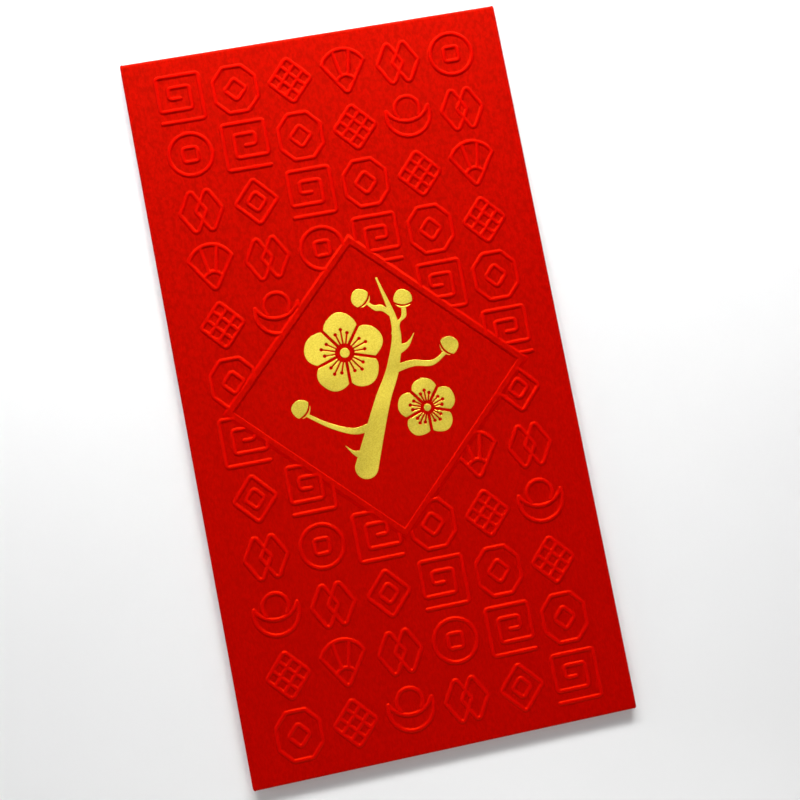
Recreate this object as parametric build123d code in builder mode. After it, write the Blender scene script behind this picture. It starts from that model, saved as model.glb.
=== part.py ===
"""Red envelope: one die-cut sheet of embossed red paper, folded and glued into a flat pocket with a flap.

It lies on its back, face up. X runs across the face, Y runs up it towards the flap's crease, and Z is up.
The origin is on the table, under the middle of the envelope.
"""

import os

from build123d import *

# Sheet and pocket, in millimetres
envelope_width = 90.0
envelope_height = 170.0
paper_thickness = 0.35
pocket_gap = 0.5
glue_film = 0.05
flap_clearance = 0.25
corner_land = 2.0
overrun = 1.0

# Back panel, closed over the glue tabs
back_inset = 1.0
mouth_drop = 9.0
mouth_corner_radius = 4.0
thumb_notch_radius = 9.0
thumb_notch_rounding = 2.0

# Glue tabs along the two long sides
tab_width = 14.0
tab_taper = 12.0
glue_inset = 3.0

# Closing flap
flap_inset = 1.0
flap_depth = 42.0
flap_side_taper = 6.0
flap_corner_radius = 9.0

# Embossing on the face: a square frame on its corner, in a field of small ornaments
emboss_height = 0.3
frame_half_diagonal = 36.4
frame_band = 2.0
frame_hollow = 1.0
frame_gap = 0.5
field_side_margin = 7.0
field_end_margin = 4.2
column_gap = 2.0
row_gap = 1.6
stroke_width = 1.0
column_count = 6
row_count = 12
column_shift_count = 5

# Gold foil inside the frame
foil_thickness = 0.04
emblem_margin = 10.6
emblem_rise = 2.0
large_blossom_radius = 9.5
small_blossom_radius = 7.0
bud_radius = 2.2
petal_gap = 0.7
petal_count = 5

# Heights of the layers above the table, from the flap up to the face
flap_top = paper_thickness
back_low = flap_top + flap_clearance
back_top = back_low + paper_thickness
tab_low = back_top + glue_film
tab_top = tab_low + paper_thickness
front_low = tab_top + pocket_gap
front_top = front_low + paper_thickness

# Folds: each is a half round that joins the face to the layer it turns over to
side_radius = (front_top - tab_low) / 2
bottom_radius = (front_top - back_low) / 2
flap_radius = front_top / 2
side_line = envelope_width / 2 - side_radius
bottom_line = bottom_radius - envelope_height / 2
crease_line = envelope_height / 2 - flap_radius
mouth_line = envelope_height / 2 - mouth_drop
side_fold_length = envelope_height - 2 * corner_land
back_width = envelope_width - 2 * back_inset
flap_width = envelope_width - 2 * flap_inset

# Sides of the square frame, and the height of the emblem that fills it
frame_side = frame_half_diagonal * 2**0.5
frame_middle_side = frame_side - frame_band
frame_inner_side = frame_side - 2 * frame_band
emblem_height = frame_inner_side * 2**0.5 - 2 * emblem_margin

# Pitch of the ornaments, which fill the face between its margins, and their size between the gaps
column_pitch = (envelope_width - 2 * field_side_margin + column_gap) / column_count
row_pitch = (envelope_height - 2 * field_end_margin + row_gap) / row_count
motif_width = column_pitch - column_gap
motif_height = row_pitch - row_gap

# Embossed ornaments: shares of half the width and half the height, along the middle of each stroke
square_fret_shares = (
    (-1, -1), (1, -1), (1, 1), (-1, 1), (-1, -0.5), (0.5, -0.5), (0.5, 0.5), (-0.5, 0.5), (-0.5, 0), (0, 0),
)
octagon_shares = ((0, 1), (0.45, 1), (1, 0.45), (1, -0.45), (0.45, -1), (0, -1))
octagon_heart_shares = ((0, 0.5), (0.5, 0), (0, -0.5), (-0.5, 0))
lozenge_shares = ((0, 1), (0.62, 0), (0, -1), (-0.62, 0))
lozenge_shift_share = 0.38
lattice_shares = ((0, 1), (1, 0), (0, -1), (-1, 0))
lattice_bar_shares = (((-0.67, 0.33), (0.33, -0.67)), ((-0.33, 0.67), (0.67, -0.33)))
coin_square_share = 0.4
nested_scale_shares = (1, 0.45)
fan_guard_shares = ((-1, 0.4), (0, -1), (1, 0.4))
fan_rim_shares = ((-1, 0.4), (0, 1), (1, 0.4))
fan_heart_shares = ((-0.42, -0.41), (0, -0.16), (0.42, -0.41))
fan_rib_shares = ((0.16, -0.2), (0.38, 0.9))
ingot_hull_shares = ((-1, 0.42), (0, -0.8), (1, 0.42))
ingot_deck_shares = ((-1, 0.42), (0, -0.14), (1, 0.42))
ingot_dome_shares = ((-0.48, 0.08), (0, 0.96), (0.48, 0.08))

# Gold emblem: places and half widths as shares of the emblem's height, blossoms as shares of their radius
branch_shares = ((-0.13, -0.44), (-0.05, -0.26), (0.02, -0.11), (0.1, 0.04), (0.15, 0.24), (0.1, 0.5))
branch_half_shares = (0.056, 0.045, 0.037, 0.03, 0.02, 0.005)
branch_edge = Vector(1, -0.35)
right_twig_shares = ((0.09, 0.02), (0.2, 0.035), (0.3, 0.02), (0.385, 0.065))
left_twig_shares = ((-0.03, -0.23), (-0.15, -0.25), (-0.27, -0.2), (-0.385, -0.12))
right_stalk_shares = ((0.142, 0.2), (0.16, 0.25), (0.2, 0.28), (0.21, 0.34))
left_stalk_shares = ((0.142, 0.3), (0.1, 0.34), (0.06, 0.35), (0.02, 0.39))
twig_half_shares = (0.022, 0.017, 0.014, 0.011)
twig_edge = Vector(0, 1)
stalk_edge = Vector(1, 0)
bud_place_shares = ((0.4, 0.09), (-0.4, -0.09), (0.213, 0.37), (0, 0.41))
large_blossom_shares = (-0.13, 0.15)
small_blossom_shares = (0.23, -0.2)
foil_petal_reach_share = 0.58
foil_petal_size_share = 0.42
foil_heart_share = 0.24
foil_pistil_share = 0.12


def placed(shares):
    """Points of an embossed ornament, from shares of its half width and half height."""
    half_width = (motif_width - stroke_width) / 2
    half_height = (motif_height - stroke_width) / 2
    return [(across * half_width, up * half_height) for across, up in shares]


def mirrored(shares):
    """The same shares on the other side of the ornament's upright middle line."""
    return [(-across, up) for across, up in shares]


def raised_line(shares):
    """An embossed stroke, straight from point to point."""
    with BuildLine() as path:
        Polyline(*placed(shares))
    trace(path.wire(), line_width=stroke_width)


def raised_arc(shares):
    """An embossed stroke on the arc through three points."""
    with BuildLine() as path:
        ThreePointArc(*placed(shares))
    trace(path.wire(), line_width=stroke_width)


def raised_loop(shares):
    """An embossed stroke that closes on itself, begun halfway along a side to mitre every corner."""
    first, last = shares[0], shares[-1]
    halfway = ((first[0] + last[0]) / 2, (first[1] + last[1]) / 2)
    raised_line([halfway, *shares, halfway])


def emblem_place(shares):
    """A point of the gold emblem, from shares of its height."""
    return (shares[0] * emblem_height, shares[1] * emblem_height + emblem_rise)


def brush_stroke(shares, half_shares, edge):
    """A tapering stroke of foil along a curve, its width laid along the edge direction."""
    middle = [Vector(emblem_place(share)) for share in shares]
    reach = [edge * share * emblem_height for share in half_shares]
    one_edge = [point + half for point, half in zip(middle, reach)]
    other_edge = [point - half for point, half in zip(middle, reach)]
    with BuildLine() as outline:
        Spline(*one_edge)
        Line(one_edge[-1], other_edge[-1])
        Spline(*reversed(other_edge))
        Line(other_edge[0], one_edge[0])
    make_face(outline.edges())


def foil_blossom(radius):
    """Five gold petals, parted by narrow gaps, round a pistil."""
    Circle(radius + petal_gap, mode=Mode.SUBTRACT)
    with PolarLocations(radius * foil_petal_reach_share, petal_count, start_angle=90):
        Circle(radius * foil_petal_size_share)
    with PolarLocations(radius / 2, petal_count, start_angle=90 + 180 / petal_count):
        Rectangle(radius, petal_gap, mode=Mode.SUBTRACT)
    Circle(radius * foil_heart_share, mode=Mode.SUBTRACT)
    Circle(radius * foil_pistil_share)


# Embossed ornaments, each drawn about its own middle
with BuildSketch() as square_fret:
    raised_line(square_fret_shares)

with BuildSketch() as turned_fret:
    raised_line(mirrored(square_fret_shares))

with BuildSketch() as octagon_window:
    raised_line(octagon_shares)
    raised_line(mirrored(octagon_shares))
    raised_loop(octagon_heart_shares)

with BuildSketch() as linked_lozenges:
    for shift in (-lozenge_shift_share, lozenge_shift_share):
        raised_loop([(across + shift, up) for across, up in lozenge_shares])

with BuildSketch() as lattice:
    raised_loop(lattice_shares)
    for bar in lattice_bar_shares:
        raised_line(bar)
        raised_line(mirrored(bar))

with BuildSketch() as coin:
    Circle(motif_width / 2)
    Circle(motif_width / 2 - stroke_width, mode=Mode.SUBTRACT)
    Rectangle(motif_width * coin_square_share, motif_width * coin_square_share)
    Rectangle(
        motif_width * coin_square_share - 2 * stroke_width,
        motif_width * coin_square_share - 2 * stroke_width,
        mode=Mode.SUBTRACT,
    )

with BuildSketch() as nested_lozenges:
    for scale in nested_scale_shares:
        raised_loop([(across * scale, up * scale) for across, up in lattice_shares])

with BuildSketch() as fan:
    raised_line(fan_guard_shares)
    raised_arc(fan_rim_shares)
    raised_arc(fan_heart_shares)
    raised_line(fan_rib_shares)
    raised_line(mirrored(fan_rib_shares))

with BuildSketch() as ingot:
    raised_arc(ingot_hull_shares)
    raised_arc(ingot_deck_shares)
    raised_arc(ingot_dome_shares)

# Order of the ornaments down a column, and their places in the field around the frame
ornaments = [
    square_fret, coin, linked_lozenges, fan, lattice, octagon_window,
    turned_fret, nested_lozenges, linked_lozenges, ingot, lattice, octagon_window,
]
ornament_places = [[] for ornament in ornaments]
for column in range(column_count):
    for row in range(row_count):
        across = (column - (column_count - 1) / 2) * column_pitch
        up = ((row_count - 1) / 2 - row) * row_pitch
        if abs(across) + abs(up) > frame_half_diagonal:
            ornament_places[(row + column * column_shift_count) % len(ornaments)].append((across, up))

# Front panel: the face, with its edges cut back where the folds begin, and corners left square
with BuildPart() as front_panel:
    with BuildSketch(Plane.XY.offset(front_low)):
        Rectangle(envelope_width, envelope_height)
        with Locations((side_line + side_radius / 2, 0), (-side_line - side_radius / 2, 0)):
            Rectangle(side_radius, side_fold_length, mode=Mode.SUBTRACT)
        with Locations((0, bottom_line - bottom_radius / 2)):
            Rectangle(back_width, bottom_radius, mode=Mode.SUBTRACT)
        with Locations((0, crease_line + flap_radius / 2)):
            Rectangle(flap_width, flap_radius, mode=Mode.SUBTRACT)
    extrude(amount=paper_thickness)
    # Raised ornaments, stopped just short of the raised frame
    with BuildSketch(Plane.XY.offset(front_top)):
        for ornament, places in zip(ornaments, ornament_places):
            with Locations(*places):
                add(ornament.sketch)
        with Locations(Rotation(0, 0, 45)):
            Rectangle(frame_side + 2 * frame_gap, frame_side + 2 * frame_gap, mode=Mode.SUBTRACT)
            Rectangle(frame_side, frame_side)
            Rectangle(frame_inner_side, frame_inner_side, mode=Mode.SUBTRACT)
    extrude(amount=emboss_height)
    # The die leaves a hollow behind the frame
    with BuildSketch(Plane.XY.offset(front_low)):
        with Locations(Rotation(0, 0, 45)):
            Rectangle(frame_middle_side + frame_hollow, frame_middle_side + frame_hollow)
            Rectangle(
                frame_middle_side - frame_hollow,
                frame_middle_side - frame_hollow,
                mode=Mode.SUBTRACT,
            )
    extrude(amount=emboss_height, mode=Mode.SUBTRACT)

# Side folds: turn the long sides of the face under into the glue tabs
with BuildPart() as right_side_fold:
    with BuildSketch(Plane.XZ):
        with Locations((side_line, tab_low + side_radius)):
            Circle(side_radius)
            Circle(side_radius - paper_thickness, mode=Mode.SUBTRACT)
            with Locations((-side_radius / 2 - overrun / 2, 0)):
                Rectangle(side_radius + overrun, 2 * side_radius + overrun, mode=Mode.SUBTRACT)
    extrude(amount=side_fold_length / 2, both=True)

with BuildPart() as left_side_fold:
    mirror(right_side_fold.part, about=Plane.YZ)

# Glue tabs: narrow strips behind the long sides, cut back at both ends
with BuildPart() as right_glue_tab:
    with BuildSketch(Plane.XY.offset(tab_low)):
        with BuildLine():
            Polyline(
                (side_line, -side_fold_length / 2),
                (side_line, side_fold_length / 2),
                (side_line - tab_width, side_fold_length / 2 - tab_taper),
                (side_line - tab_width, tab_taper - side_fold_length / 2),
                close=True,
            )
        make_face()
    extrude(amount=paper_thickness)

with BuildPart() as left_glue_tab:
    mirror(right_glue_tab.part, about=Plane.YZ)

# Glue lines: a film between each tab and the back panel, as long as the tab's free edge
with BuildPart() as right_glue_line:
    with BuildSketch(Plane.XY.offset(back_top)):
        with Locations((side_line - tab_width / 2, 0)):
            Rectangle(tab_width - 2 * glue_inset, side_fold_length - 2 * tab_taper)
    extrude(amount=glue_film)

with BuildPart() as left_glue_line:
    mirror(right_glue_line.part, about=Plane.YZ)

# Bottom fold: turns the face up into the back panel
with BuildPart() as bottom_fold:
    with BuildSketch(Plane.YZ):
        with Locations((bottom_line, back_low + bottom_radius)):
            Circle(bottom_radius)
            Circle(bottom_radius - paper_thickness, mode=Mode.SUBTRACT)
            with Locations((bottom_radius / 2 + overrun / 2, 0)):
                Rectangle(bottom_radius + overrun, 2 * bottom_radius + overrun, mode=Mode.SUBTRACT)
    extrude(amount=back_width / 2, both=True)

# Back panel: from the bottom fold up to the mouth of the pocket, with a thumb notch
with BuildPart() as back_panel:
    with BuildSketch(Plane.XY.offset(back_low)):
        with Locations((0, (mouth_line + bottom_line) / 2)):
            Rectangle(back_width, mouth_line - bottom_line)
        mouth_corners = vertices().group_by(Axis.Y)[-1]
        fillet(mouth_corners, mouth_corner_radius)
        with Locations((0, mouth_line)):
            Circle(thumb_notch_radius, mode=Mode.SUBTRACT)
        notch_corners = vertices().group_by(Axis.Y)[-1].sort_by(Axis.X)[1:-1]
        fillet(notch_corners, thumb_notch_rounding)
    extrude(amount=paper_thickness)

# Flap crease: the soft fold along the top that the flap swings on
with BuildPart() as flap_crease:
    with BuildSketch(Plane.YZ):
        with Locations((crease_line, flap_radius)):
            Circle(flap_radius)
            Circle(flap_radius - paper_thickness, mode=Mode.SUBTRACT)
            with Locations((-flap_radius / 2 - overrun / 2, 0)):
                Rectangle(flap_radius + overrun, 2 * flap_radius + overrun, mode=Mode.SUBTRACT)
    extrude(amount=flap_width / 2, both=True)

# Closing flap: narrows a little towards its rounded corners
with BuildPart() as closing_flap:
    with BuildSketch():
        with BuildLine():
            Polyline(
                (-flap_width / 2, crease_line),
                (flap_width / 2, crease_line),
                (flap_width / 2 - flap_side_taper, crease_line - flap_depth),
                (flap_side_taper - flap_width / 2, crease_line - flap_depth),
                close=True,
            )
        make_face()
        tip_corners = vertices().group_by(Axis.Y)[0]
        fillet(tip_corners, flap_corner_radius)
    extrude(amount=paper_thickness)

# Gold emblem: a plum sprig stamped in foil inside the frame
with BuildPart() as gold_emblem:
    with BuildSketch(Plane.XY.offset(front_top)):
        brush_stroke(branch_shares, branch_half_shares, branch_edge)
        with Locations(emblem_place(branch_shares[0])):
            Circle(branch_edge.length * branch_half_shares[0] * emblem_height)
        brush_stroke(right_twig_shares, twig_half_shares, twig_edge)
        brush_stroke(left_twig_shares, twig_half_shares, twig_edge)
        brush_stroke(right_stalk_shares, twig_half_shares, stalk_edge)
        brush_stroke(left_stalk_shares, twig_half_shares, twig_edge)
        with Locations(*[emblem_place(shares) for shares in bud_place_shares]):
            Circle(bud_radius)
        with Locations(emblem_place(large_blossom_shares)):
            foil_blossom(large_blossom_radius)
        with Locations(emblem_place(small_blossom_shares)):
            foil_blossom(small_blossom_radius)
    extrude(amount=foil_thickness)

pieces = {
    "front_panel": front_panel,
    "left_side_fold": left_side_fold,
    "right_side_fold": right_side_fold,
    "left_glue_tab": left_glue_tab,
    "right_glue_tab": right_glue_tab,
    "left_glue_line": left_glue_line,
    "right_glue_line": right_glue_line,
    "bottom_fold": bottom_fold,
    "back_panel": back_panel,
    "flap_crease": flap_crease,
    "closing_flap": closing_flap,
    "gold_emblem": gold_emblem,
}

os.makedirs("parts", exist_ok=True)
for name, piece in pieces.items():
    piece.part.label = name
    export_step(piece.part, f"parts/{name}.step")
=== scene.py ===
"""Red envelope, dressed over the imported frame: embossed face, folds, back, closing flap and gold sprig."""

import cmath
import itertools
import math

import bpy
import numpy as np
from mathutils import Matrix, Vector
from mathutils.geometry import delaunay_2d_cdt


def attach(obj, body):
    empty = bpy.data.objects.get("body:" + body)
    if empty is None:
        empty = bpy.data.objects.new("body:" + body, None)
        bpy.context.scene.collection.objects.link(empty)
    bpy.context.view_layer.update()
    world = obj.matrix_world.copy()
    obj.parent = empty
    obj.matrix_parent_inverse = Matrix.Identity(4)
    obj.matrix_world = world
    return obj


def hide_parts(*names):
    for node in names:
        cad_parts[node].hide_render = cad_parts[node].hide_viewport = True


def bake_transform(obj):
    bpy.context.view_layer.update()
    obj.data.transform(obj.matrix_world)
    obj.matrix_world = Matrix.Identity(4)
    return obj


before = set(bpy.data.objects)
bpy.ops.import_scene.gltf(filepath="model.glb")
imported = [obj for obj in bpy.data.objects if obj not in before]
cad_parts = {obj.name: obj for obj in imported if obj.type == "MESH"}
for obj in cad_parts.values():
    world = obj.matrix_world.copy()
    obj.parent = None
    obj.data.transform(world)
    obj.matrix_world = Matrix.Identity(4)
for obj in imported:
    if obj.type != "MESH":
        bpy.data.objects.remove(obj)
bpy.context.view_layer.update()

MM = 0.001

# Folded sheet, in millimetres, as the frame has it
envelope_height = 170.0
paper_thickness = 0.35
corner_land = 2.0
side_line = 44.4
side_radius = 0.6
side_middle = 1.6
bottom_line = -84.2
bottom_radius = 0.8
bottom_middle = 1.4
crease_line = 83.9
crease_radius = 1.1
back_width = 88.0
back_low = 0.6
flap_width = 88.0
flap_depth = 42.0
flap_side_taper = 6.0
flap_corner_radius = 9.0
mouth_line = 76.0
mouth_corner_radius = 4.0
thumb_notch_radius = 9.0
thumb_notch_rounding = 2.0
face_low = 1.85
face_top = 2.2

# How finely the sheets are made, and where they are sharp
batch_size = 500
merge_distance = 1e-5
sheet_corner_step = math.radians(4.5)
fold_segments = 24
fold_rows = 33
row_crowding = 3.0
crown_narrowing = 3.0
side_end_rounding = 0.9
fold_roundness = 0.6
rim_rounding = 0.06
rim_segments = 2
cut_slope = 0.5
face_cut_slope = 0.3
sheet_crease_angle = 50
relief_crease_angle = 60

# Embossing: strokes with a rounded top and a soft foot, and a frame with a crisp inner wall
relief_height = 0.3
press_scale = 45.0
least_press = 0.82
stroke_top = 0.17
stroke_foot = 0.62
stroke_levels = (0.13, 0.22, 0.31, 0.41, 0.51, 0.63, 0.75)
stroke_cut = 0.9
line_step = 1.5
clear_step = 0.05
clear_margin = 0.04
bend_radius = 0.75
bend_step = math.radians(15)
cap_step = math.radians(32)
smooth_bend = math.radians(16)
hairpin_bend = 3.1
frame_band = 2.0
frame_half_diagonal = 36.4
frame_inner_half_diagonal = frame_half_diagonal - frame_band * math.sqrt(2)
frame_wall = 0.26
frame_slope_start = 1.25
frame_slope_end = 2.2
frame_levels = (
    -0.14, 0.0, 0.065, 0.13, 0.195, 0.26, 0.42,
    1.15, 1.3, 1.45, 1.6, 1.75, 1.9, 2.05, 2.2, 2.4,
)
# Painted highlight, with smoother paper, on the frame's band and more on its edges
band_polish_and_highlight = 0.2
edge_polish_and_highlight = 1.0
frame_step = 1.2
column_count = 6
row_count = 12
column_shift = 5
column_pitch = 13.0
row_pitch = 13.6
motif_half_width = 5.0
motif_half_height = 5.5
coin_radius = 5.0
coin_square_half = 1.7
plain_step = 3.0
plain_clearance = 1.1

# Gold sprig, stamped in foil
foil_seat = 0.01
foil_low = face_top - foil_seat
foil_thickness = 0.05
foil_rim = 0.4
foil_rounding = 0.09
foil_rings = (0.03, 0.06, 0.095, 0.13)
ring_margin = 0.01
sprig_height = 45.94
sprig_rise = 2.0
brush_count = 28
round_count = 120
slow_waver = 0.02
quick_waver = 0.012
bud_radius = 2.2
calyx_gap = 0.42
petal_gap = 0.7
petal_count = 5
stamen_width = 0.36
bar_step = 0.3

# Parts of a blossom and of a bud, as shares of its radius
petal_place = 0.58
petal_size = 0.42
stamen_foot = 0.2
stamen_spread = math.radians(17)
stamens = ((-stamen_spread, 0.50), (0, 0.58), (stamen_spread, 0.50))
heart_size = 0.24
pistil_size = 0.12
calyx_rim = (-0.1 + 1.2j, -0.62, -0.1 - 1.2j)

# An anther's radius, as a share of its stamen's width
anther_size = 1.15

# The paper's tones and shares, and the span that most of a noise lies in
noise_span = (0.3, 0.7)
shadow_tone = 0.7
# Tone of the painted highlight on the strokes and the frame's edges
highlight_tone = 1.24
fleck_share = 0.4
# Share of that painted highlight
highlight_share = 0.85
polish_smoothing = 0.13
worn_red = (0.62, 0.014, 0.007)


def mm(point, height):
    """A flat point in millimetres, as a place in metres."""
    return (point.real * MM, point.imag * MM, height * MM)


# Nodes, for geometry and for materials


def set_inputs(tree, node, inputs):
    """Links or fills in a node's inputs."""
    for key, value in inputs.items():
        if isinstance(value, bpy.types.NodeSocket):
            tree.links.new(value, node.inputs[key])
        else:
            node.inputs[key].default_value = value


def add_node(tree, kind, inputs=None, **settings):
    """A node with its settings, and its inputs linked or filled in."""
    made = tree.nodes.new(kind)
    for name, value in settings.items():
        setattr(made, name, value)
    set_inputs(tree, made, inputs or {})
    return made


def calculate(tree, operation, first, second=0.5):
    """One step of arithmetic."""
    return add_node(tree, "ShaderNodeMath", {0: first, 1: second}, operation=operation).outputs[0]


def fade(tree, value, low, high, start=0.0, end=1.0, shape="SMOOTHSTEP"):
    """A change from start to end as the value goes from low to high."""
    inputs = {"Value": value, "From Min": low, "From Max": high, "To Min": start, "To Max": end}
    return add_node(tree, "ShaderNodeMapRange", inputs, interpolation_type=shape).outputs[0]


def axes(tree, vector):
    """The X, Y and Z of a vector."""
    return add_node(tree, "ShaderNodeSeparateXYZ", {0: vector}).outputs


def square_reach(tree, parts):
    """How far out a point is, across and up added together: the same all along the square frame."""
    across, up = (calculate(tree, "ABSOLUTE", parts[axis]) for axis in "XY")
    return calculate(tree, "ADD", across, up)


def store(tree, geometry, name, value, kind, domain):
    """Keeps a value on the geometry under a name."""
    inputs = {"Geometry": geometry, "Name": name, "Value": value}
    made = add_node(tree, "GeometryNodeStoreNamedAttribute", inputs, data_type=kind, domain=domain)
    return made.outputs[0]


def new_geometry_tree(name, *inputs):
    """An empty tree with named inputs, and the sockets that carry them."""
    tree = bpy.data.node_groups.new(name, "GeometryNodeTree")
    tree.interface.new_socket("Geometry", in_out="OUTPUT", socket_type="NodeSocketGeometry")
    for label, kind in inputs:
        tree.interface.new_socket(label, in_out="INPUT", socket_type="NodeSocket" + kind)
    return tree, tree.nodes.new("NodeGroupInput").outputs


def close_tree(tree, geometry, *finishes):
    """Ends a tree: plain geometry, then each material where its selection holds."""
    geometry = add_node(tree, "GeometryNodeRealizeInstances", {"Geometry": geometry}).outputs[0]
    for material, selection in finishes:
        inputs = {"Geometry": geometry, "Material": material, "Selection": selection}
        geometry = add_node(tree, "GeometryNodeSetMaterial", inputs).outputs[0]
    add_node(tree, "NodeGroupOutput", {0: geometry})


def grow(name, tree, values, mesh=None):
    """An object whose plain mesh is what the tree makes with these input values."""
    made = bpy.data.objects.new(name, mesh or bpy.data.meshes.new(name))
    bpy.context.scene.collection.objects.link(made)
    modifier = made.modifiers.new(tree.name, "NODES")
    modifier.node_group = tree
    for item in tree.interface.items_tree:
        if item.in_out == "INPUT" and item.name in values:
            modifier[item.identifier] = values[item.name]
    settle(made)
    return made


def settle(piece):
    """Turns what the piece's modifiers make into its own mesh."""
    depsgraph = bpy.context.evaluated_depsgraph_get()
    settled = bpy.data.meshes.new_from_object(piece.evaluated_get(depsgraph), depsgraph=depsgraph)
    piece.modifiers.clear()
    piece.data = settled
    settled.name = piece.name


def shade(piece, crease_angle):
    """Smooth shading that keeps the edges sharper than an angle."""
    piece.data.shade_smooth()
    piece.data.set_sharp_from_angle(angle=math.radians(crease_angle))


# Lines on the flat, as complex numbers in millimetres


def nearest(points, lines):
    """How far each point is from the nearest of the line pieces, worked out for some points at a time."""
    points, lines = np.array(points), np.array(lines)
    start, run = lines[:, 0], lines[:, 1] - lines[:, 0]
    distances = []
    for batch in np.array_split(points, 1 + len(points) // batch_size):
        offset = batch[:, None] - start
        share = np.clip((offset * run.conj()).real / (run * run.conj()).real, 0, 1)
        distances.append(np.abs(offset - share * run).min(1))
    return np.concatenate(distances)


def parted(start, end, step):
    """Evenly spaced points from start up to, but without, end."""
    count = max(1, math.ceil(abs(end - start) / step))
    return [start + (end - start) * index / count for index in range(count)]


def round_line(corners, step):
    """Evenly spaced points along a line that closes on itself."""
    return [point for pair in zip(corners, corners[1:] + corners[:1]) for point in parted(*pair, step)]


def circle(middle, radius, count):
    """Points round a circle."""
    return [middle + radius * cmath.exp(2j * math.pi * index / count) for index in range(count)]


def arc(start, through, end, count):
    """Points along the round line through three points."""
    ratio = (end - start) / (through - start)
    middle = start + (through - start) * (ratio * (1 - ratio.conjugate())) / (ratio - ratio.conjugate())
    first = start - middle
    sweep = cmath.phase((through - middle) / first) + cmath.phase((end - middle) / (through - middle))
    return [middle + first * cmath.exp(1j * sweep * index / count) for index in range(count + 1)]


def smooth(knots, count):
    """A soft curve through the knots."""
    ends = [2 * knots[0] - knots[1], *knots, 2 * knots[-1] - knots[-2]]
    line = []
    for before, start, end, after in zip(ends, ends[1:], ends[2:], ends[3:]):
        for index in range(count):
            share = index / count
            line.append(
                start
                + share * (end - before) / 2
                + share**2 * (before - 2.5 * start + 2 * end - after / 2)
                + share**3 * (1.5 * (start - end) + (after - before) / 2)
            )
    return line + [knots[-1]]


def rounded(corners, step):
    """A closed outline from (corner, radius) pairs; each rounded corner is an arc, in steps of an angle."""
    outline = []
    for index, (corner, radius) in enumerate(corners):
        if not radius:
            outline.append(corner)
            continue
        before = corners[index - 1][0] - corner
        after = corners[(index + 1) % len(corners)][0] - corner
        before, after = before / abs(before), after / abs(after)
        half = abs(cmath.phase(after / before)) / 2
        start, end = corner + before * radius / math.tan(half), corner + after * radius / math.tan(half)
        middle = corner + (before + after) / abs(before + after) * radius / math.sin(half)
        through = middle + (corner - middle) / abs(corner - middle) * radius
        outline += arc(start, through, end, math.ceil((math.pi - 2 * half) / step))
    return outline


def leftward(outline):
    """The outline, run so that its inside is on the left."""
    pairs = zip(outline, outline[1:] + outline[:1])
    turning = sum((here.conjugate() * after).imag for here, after in pairs)
    return outline if turning > 0 else outline[::-1]


def beside(path, distance):
    """The line on the left of a closed path, rounded outside its bends."""
    line = []
    for before, here, after in zip(path[-1:] + path[:-1], path, path[1:] + path[:1]):
        first = 1j * (here - before) / abs(here - before)
        second = 1j * (after - here) / abs(after - here)
        bend = cmath.phase(second / first)
        if abs(bend) > hairpin_bend:
            bend = -math.pi
        if bend > -smooth_bend:
            line.append(here + distance * (first + second) / (1 + (first * second.conjugate()).real))
            continue
        count = math.ceil(-bend / cap_step)
        for index in range(count + 1):
            line.append(here + distance * first * cmath.exp(1j * bend * index / count))
    return line


# Embossed ornaments: strokes along their middle lines, as shares of half the width and half the height


def placed(shares):
    """Shares as points on the flat."""
    return [complex(across * motif_half_width, up * motif_half_height) for across, up in shares]


def mirrored(shares):
    """Shares with left and right changed over."""
    return [(-across, up) for across, up in shares]


def shifted(shares, shift):
    """Shares moved to the right."""
    return [(across + shift, up) for across, up in shares]


def scaled(shares, scale):
    """Shares made larger or smaller."""
    return [(across * scale, up * scale) for across, up in shares]


def line_stroke(shares):
    """An open stroke with rounded bends: its points, and that it isn't closed."""
    first, *bends, last = placed(shares)
    line = rounded([(first, 0), *[(bend, bend_radius) for bend in bends], (last, 0)], bend_step)
    points = [point for pair in zip(line, line[1:]) for point in parted(*pair, line_step)]
    return points + [last], False


def loop_stroke(shares):
    """A closed stroke with rounded bends."""
    return round_line(rounded([(bend, bend_radius) for bend in placed(shares)], bend_step), line_step), True


def arc_stroke(shares):
    """An open stroke along an arc."""
    return arc(*placed(shares), count=16), False


fret = (
    (-1, -1), (1, -1), (1, 1), (-1, 1), (-1, -0.5),
    (0.5, -0.5), (0.5, 0.5), (-0.5, 0.5), (-0.5, 0), (0, 0),
)
octagon = (
    (0.45, 1), (1, 0.45), (1, -0.45), (0.45, -1),
    (-0.45, -1), (-1, -0.45), (-1, 0.45), (-0.45, 1),
)
octagon_heart = ((0, 0.5), (0.5, 0), (0, -0.5), (-0.5, 0))
lozenge = ((0, 1), (0.62, 0), (0, -1), (-0.62, 0))
lozenge_shift = 0.38
diamond = ((0, 1), (1, 0), (0, -1), (-1, 0))
lattice_bars = (((-0.67, 0.33), (0.33, -0.67)), ((-0.33, 0.67), (0.67, -0.33)))
nested_scale = 0.45
fan_guard = ((-1, 0.4), (0, -1), (1, 0.4))
fan_rim = ((-1, 0.4), (0, 1), (1, 0.4))
fan_heart = ((-0.42, -0.41), (0, -0.16), (0.42, -0.41))
fan_rib = ((0.16, -0.2), (0.38, 0.9))
ingot_arcs = (
    ((-1, 0.42), (0, -0.8), (1, 0.42)),
    ((-1, 0.42), (0, -0.14), (1, 0.42)),
    ((-0.48, 0.08), (0, 0.96), (0.48, 0.08)),
)
coin_corners = [coin_square_half * corner for corner in (1 + 1j, -1 + 1j, -1 - 1j, 1 - 1j)]
coin_square = rounded([(corner, bend_radius) for corner in coin_corners], bend_step)

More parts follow.
